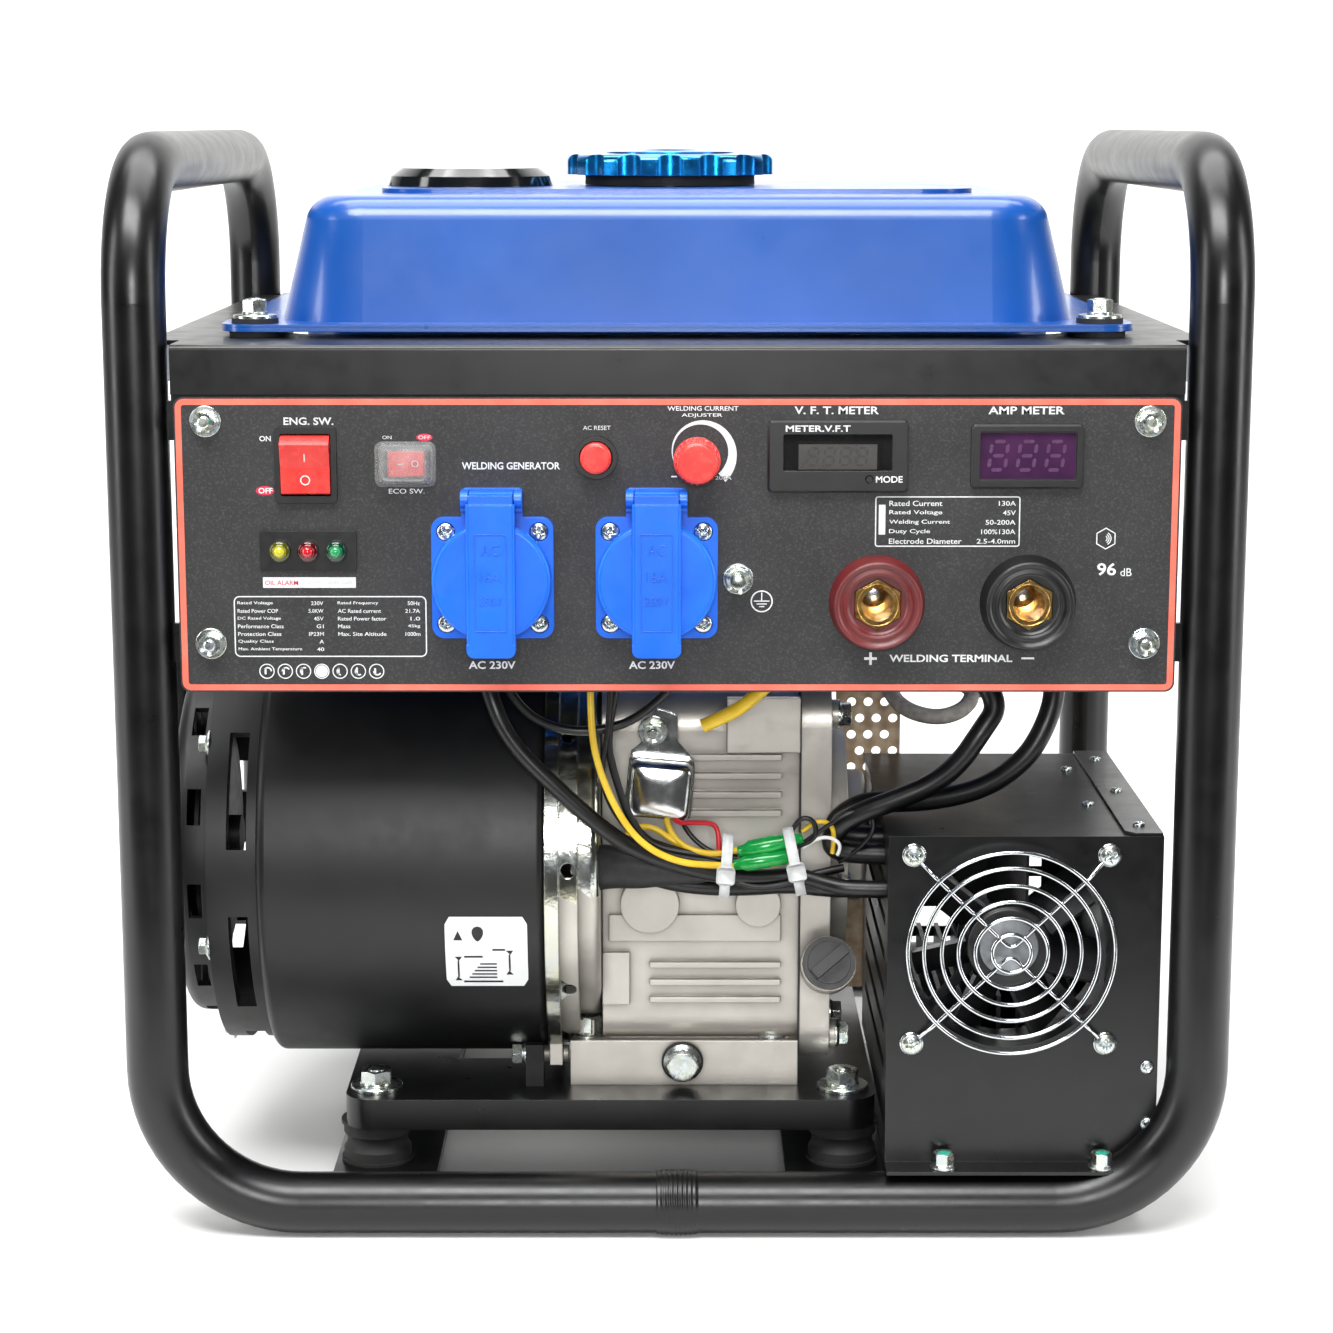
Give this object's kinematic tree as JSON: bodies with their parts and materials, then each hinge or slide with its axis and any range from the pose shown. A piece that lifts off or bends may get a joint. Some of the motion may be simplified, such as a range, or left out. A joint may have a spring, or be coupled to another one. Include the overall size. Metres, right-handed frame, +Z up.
{
  "type": "engine driven welder",
  "caption": "Portable petrol inverter generator welder in a bent tube frame with fuel tank, control panel, hinged lid sockets, weld terminals and recoil start engine.",
  "frame": {"origin": "on the floor, below the middle of the whole machine's box", "axes": "+X to the right seen from the control panel, +Y from the panel to the back, +Z up"},
  "size_m": [0.468, 0.405, 0.465],
  "materials": {
    "powder_coat": "satin",
    "panel_print": "satin",
    "blue_enamel": "gloss",
    "cap_blue": "gloss",
    "heat_black": "matte",
    "zinc_plate": "zinc plated",
    "steel_wire": "bright plated",
    "machined_steel": "machined",
    "cast_aluminium": "die cast",
    "aluminium": "extruded",
    "brass": "turned",
    "black_rubber": "matte",
    "cable_sheath": "satin",
    "black_plastic": "moulded",
    "red_plastic": "gloss",
    "socket_blue": "gloss",
    "collar_red": "moulded"
  },
  "bodies": {
    "frame": {"frame_tube_left": "powder_coat", "frame_tube_right": "powder_coat", "cross_members": "powder_coat", "engine_tray": "powder_coat", "top_plate": "powder_coat", "control_box": "powder_coat", "inverter_case": "powder_coat", "rubber_mounts": "black_rubber", "tank_bushes": "black_rubber", "front_panel": "panel_print", "panel_and_tray_bolts": "zinc_plate", "tank_bolts": "zinc_plate", "earth_bolt": "zinc_plate", "tank_upper_shell": "blue_enamel", "tank_lower_shell": "blue_enamel", "fuel_gauge_housing": "black_plastic", "engine_switch_body": "black_plastic", "eco_switch_body": "black_plastic", "indicator_block": "black_plastic", "circuit_breaker": "black_plastic", "current_potentiometer": "black_plastic", "engine_meter": "black_plastic", "amp_meter": "black_plastic", "socket_bases": "socket_blue", "weld_terminal_positive": "collar_red", "weld_terminal_negative": "black_plastic", "weld_terminal_inserts": "brass", "inverter_heatsink": "aluminium", "cooling_fan_frame": "black_plastic", "fan_guard": "steel_wire", "crankcase": "cast_aluminium", "crankcase_side_cover": "cast_aluminium", "cylinder_head": "cast_aluminium", "crank_train": "machined_steel", "muffler": "heat_black", "air_cleaner": "black_plastic", "carburettor": "cast_aluminium", "generator_shell": "heat_black", "generator_end_plate": "zinc_plate", "stator_core": "machined_steel", "recoil_cover": "heat_black", "regulator": "aluminium", "weld_cables": "cable_sheath", "wiring_harness": "cable_sheath"},
    "cap_seal": {"fuel_cap_gasket": "black_rubber"},
    "cap": {"fuel_cap": "cap_blue"},
    "level_float": {"fuel_gauge_float": "black_plastic"},
    "engine_rocker": {"engine_switch_rocker": "red_plastic"},
    "eco_rocker": {"eco_switch_rocker": "red_plastic"},
    "breaker_button": {"reset_button": "red_plastic"},
    "knob": {"current_knob": "red_plastic"},
    "mode_button": {"meter_mode_button": "black_plastic"},
    "lid_left": {"socket_lid_left": "socket_blue"},
    "lid_right": {"socket_lid_right": "socket_blue"},
    "oil_plug": {"oil_filler_plug": "black_plastic"},
    "fan_rotor": {"cooling_fan_rotor": "black_plastic"},
    "rotor": {"flywheel_rotor": "machined_steel"},
    "starter_pulley": {"recoil_pulley": "black_plastic"},
    "starter_handle": {"recoil_handle": "black_plastic"},
    "choke": {"choke_lever": "black_plastic"}
  },
  "joints": [
    {"name": "fuel_cap_lift", "type": "slide", "parent": "frame", "child": "cap_seal", "axis": [0, 0, 1], "range_m": [0, 0.09]},
    {"name": "fuel_cap_turn", "type": "hinge", "parent": "cap_seal", "child": "cap", "pos_m": [-0.003, 0.007, 0.445], "axis": [0, 0, 1], "range_deg": [0, 90]},
    {"name": "fuel_level", "type": "hinge", "parent": "frame", "child": "level_float", "pos_m": [-0.0945, -0.005, 0.414], "axis": [1, 0, 0], "range_deg": [0, 48]},
    {"name": "engine_switch", "type": "hinge", "parent": "frame", "child": "engine_rocker", "pos_m": [-0.1515, -0.1815, 0.3315], "axis": [-1, 0, 0], "range_deg": [0, 22]},
    {"name": "eco_switch", "type": "hinge", "parent": "frame", "child": "eco_rocker", "pos_m": [-0.1106, -0.1818, 0.3321], "axis": [0, 0, -1], "range_deg": [0, 22]},
    {"name": "breaker_reset", "type": "slide", "parent": "frame", "child": "breaker_button", "axis": [0, 1, 0], "range_m": [0, 0.003], "stiffness_N_per_m": 300},
    {"name": "current_knob_turn", "type": "hinge", "parent": "frame", "child": "knob", "pos_m": [0.0078, -0.191, 0.3335], "axis": [0, 1, 0], "range_deg": [0, 270]},
    {"name": "meter_mode", "type": "slide", "parent": "frame", "child": "mode_button", "axis": [0, 1, 0], "range_m": [0, 0.0008], "stiffness_N_per_m": 200},
    {"name": "lid_left_swing", "type": "hinge", "parent": "frame", "child": "lid_left", "pos_m": [-0.0757, -0.1915, 0.3182], "axis": [-1, 0, 0], "range_deg": [0, 105], "stiffness_Nm_per_rad": 0.02, "springref_deg": -22.92},
    {"name": "lid_right_swing", "type": "hinge", "parent": "frame", "child": "lid_right", "pos_m": [-0.0086, -0.1915, 0.3182], "axis": [-1, 0, 0], "range_deg": [0, 70], "stiffness_Nm_per_rad": 0.02, "springref_deg": -22.92},
    {"name": "oil_plug_turn", "type": "hinge", "parent": "frame", "child": "oil_plug", "pos_m": [0.067, -0.113, 0.1], "axis": [0, -0.9272, 0.3746], "range_deg": [0, 720]},
    {"name": "fan_spin", "type": "hinge", "parent": "frame", "child": "fan_rotor", "pos_m": [0.141, -0.159, 0.1237], "axis": [0, 1, 0], "continuous": true},
    {"name": "engine_spin", "type": "hinge", "parent": "frame", "child": "rotor", "pos_m": [-0.11, -0.055, 0.146], "axis": [1, 0, 0], "continuous": true},
    {"name": "starter_pull", "type": "slide", "parent": "frame", "child": "starter_handle", "axis": [-1, 0, 0], "range_m": [0, 0.015], "stiffness_N_per_m": 60},
    {"name": "starter_pulley_turn", "type": "hinge", "parent": "frame", "child": "starter_pulley", "pos_m": [-0.21, -0.055, 0.146], "axis": [1, 0, 0], "range_deg": [0, 17.2]},
    {"name": "choke_turn", "type": "hinge", "parent": "frame", "child": "choke", "pos_m": [-0.06, 0.10504, 0.21897], "axis": [0, 1, 0], "range_deg": [0, 60]}
  ],
  "couplings": [
    {"joint": "starter_pulley_turn", "follows": "starter_pull", "rad_per_m": 20}
  ]
}
